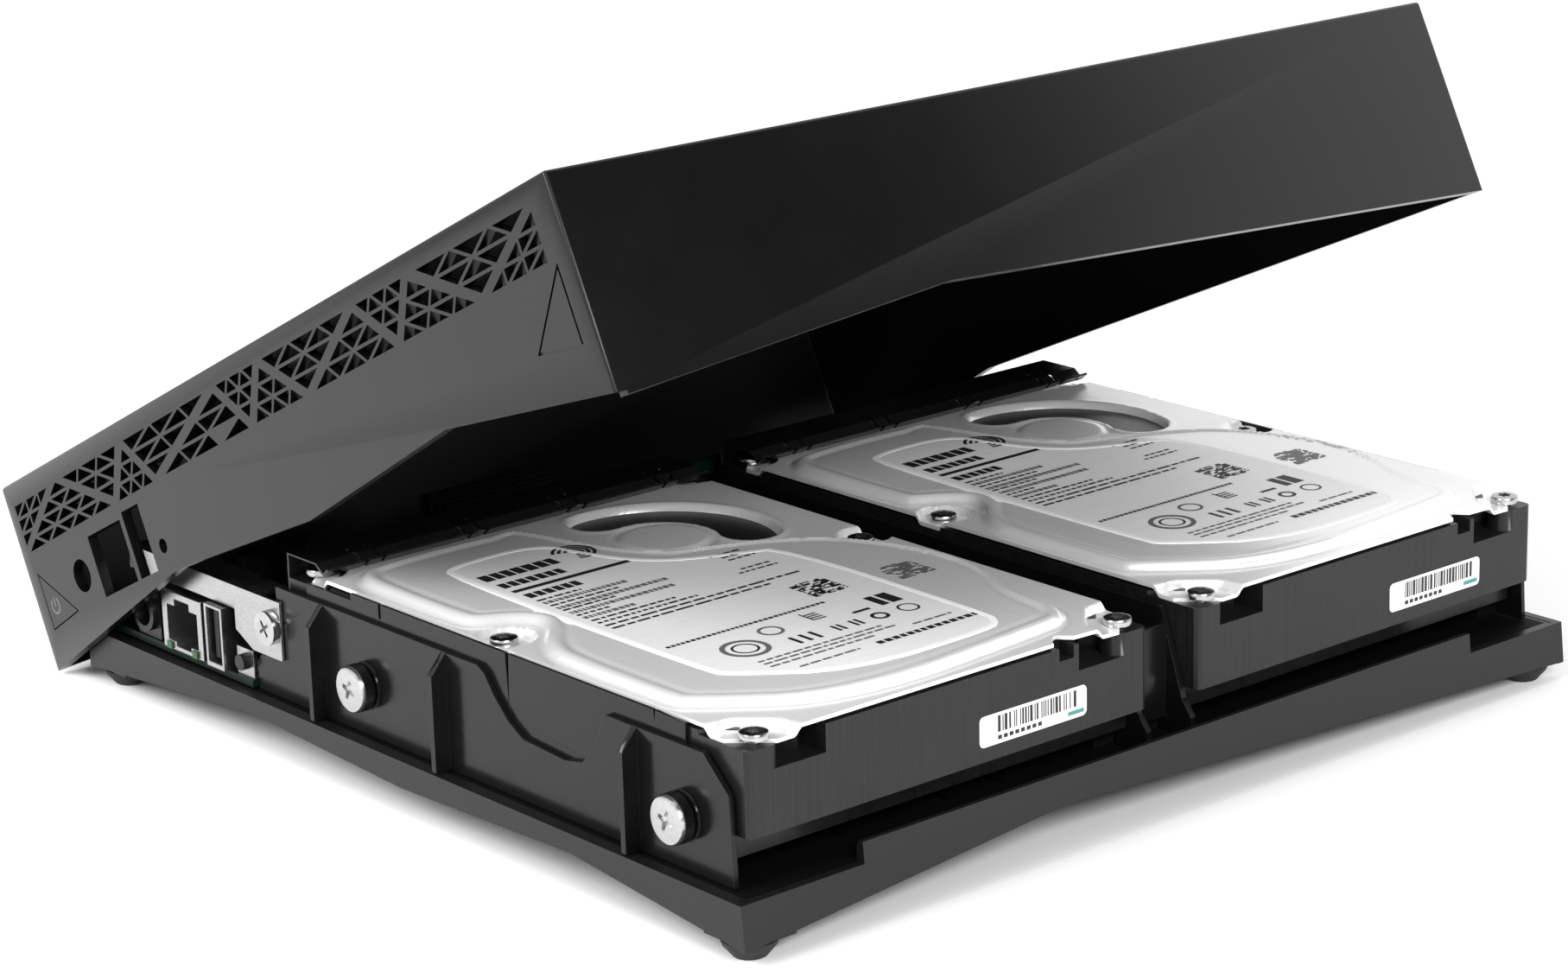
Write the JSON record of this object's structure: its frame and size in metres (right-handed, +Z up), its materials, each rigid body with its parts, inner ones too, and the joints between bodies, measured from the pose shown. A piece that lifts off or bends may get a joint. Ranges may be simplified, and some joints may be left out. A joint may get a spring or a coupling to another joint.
{
  "type": "nas enclosure",
  "caption": "Low square desktop storage box, tipped open: folded-edge lid over a shallow tray with disks side by side, ports along one side.",
  "frame": {"origin": "middle of the opened enclosure's bounding box, on the floor the feet stand on", "axes": "+Z up; +Y out of the port panel; +X along the port panel, towards the edge the lid tips on"},
  "size_m": [0.2542, 0.2354, 0.141],
  "materials": {
    "shell_black": "satin, fine grain",
    "tray_black": "satin, fine grain",
    "rubber_black": "matt",
    "button_black": "satin",
    "rail_black": "satin",
    "guard_black": "satin",
    "screw_steel": "bright zinc",
    "thumb_black": "black head with a bright face",
    "casting_black": "brushed black",
    "cover_aluminium": "satin",
    "label_foil": "silver foil",
    "sticker_paper": "matt",
    "board_green": "solder mask",
    "plug_black": "moulded",
    "port_steel": "plated sheet",
    "led_green": "clear tinted",
    "cap_sleeve": "printed sleeve",
    "sink_aluminium": "anodised"
  },
  "bodies": {
    "base": {"tray": "tray_black", "feet": "rubber_black", "rail_rear": "rail_black", "rail_middle": "rail_black", "rail_front": "rail_black", "rail_screws": "screw_steel", "liner_1": "rail_black", "liner_2": "rail_black", "disk_1_body": "casting_black", "disk_1_cover": "cover_aluminium", "disk_1_screws": "screw_steel", "disk_1_label": "label_foil", "disk_1_sticker": "sticker_paper", "disk_1_board": "board_green", "disk_1_plug": "plug_black", "disk_2_body": "casting_black", "disk_2_cover": "cover_aluminium", "disk_2_screws": "screw_steel", "disk_2_label": "label_foil", "disk_2_sticker": "sticker_paper", "disk_2_board": "board_green", "disk_2_plug": "plug_black", "cable_guard_1": "guard_black", "cable_guard_2": "guard_black", "backplane": "board_green", "backplane_sockets": "plug_black", "main_board": "board_green", "board_screws": "screw_steel", "port_bracket": "port_steel", "bracket_screw": "screw_steel", "network_socket": "port_steel", "network_led": "led_green", "usb_socket": "port_steel", "usb_tongue": "plug_black", "dc_socket": "plug_black", "reset_switch": "port_steel", "power_switch": "button_black", "capacitors": "cap_sleeve", "processor": "plug_black", "heat_sink": "sink_aluminium", "memory_chips": "plug_black"},
    "lid": {"lid_shell": "shell_black"},
    "power_key": {"power_button": "button_black"},
    "reset_key": {"reset_plunger": "button_black"},
    "thumb_1": {"thumbscrew_1": "thumb_black"},
    "thumb_2": {"thumbscrew_2": "thumb_black"},
    "thumb_3": {"thumbscrew_3": "thumb_black"},
    "thumb_4": {"thumbscrew_4": "thumb_black"}
  },
  "joints": [
    {"name": "lid_swing", "type": "hinge", "parent": "base", "child": "lid", "pos_m": [0.09792, 0, -0.0123], "axis": [0, 1, 0], "range_deg": [-26.16, 0]},
    {"name": "power_press", "type": "slide", "parent": "lid", "child": "power_key", "axis": [0, -1, 0], "range_m": [0, 0.0012], "stiffness_N_per_m": 600},
    {"name": "reset_press", "type": "slide", "parent": "base", "child": "reset_key", "axis": [0, -1, 0], "range_m": [0, 0.0008], "stiffness_N_per_m": 400},
    {"name": "thumb_1_out", "type": "slide", "parent": "base", "child": "thumb_1", "axis": [0, 1, 0], "range_m": [0, 0.007]},
    {"name": "thumb_2_out", "type": "slide", "parent": "base", "child": "thumb_2", "axis": [0, 1, 0], "range_m": [0, 0.007]},
    {"name": "thumb_3_out", "type": "slide", "parent": "base", "child": "thumb_3", "axis": [0, -1, 0], "range_m": [0, 0.007]},
    {"name": "thumb_4_out", "type": "slide", "parent": "base", "child": "thumb_4", "axis": [0, -1, 0], "range_m": [0, 0.007]}
  ]
}
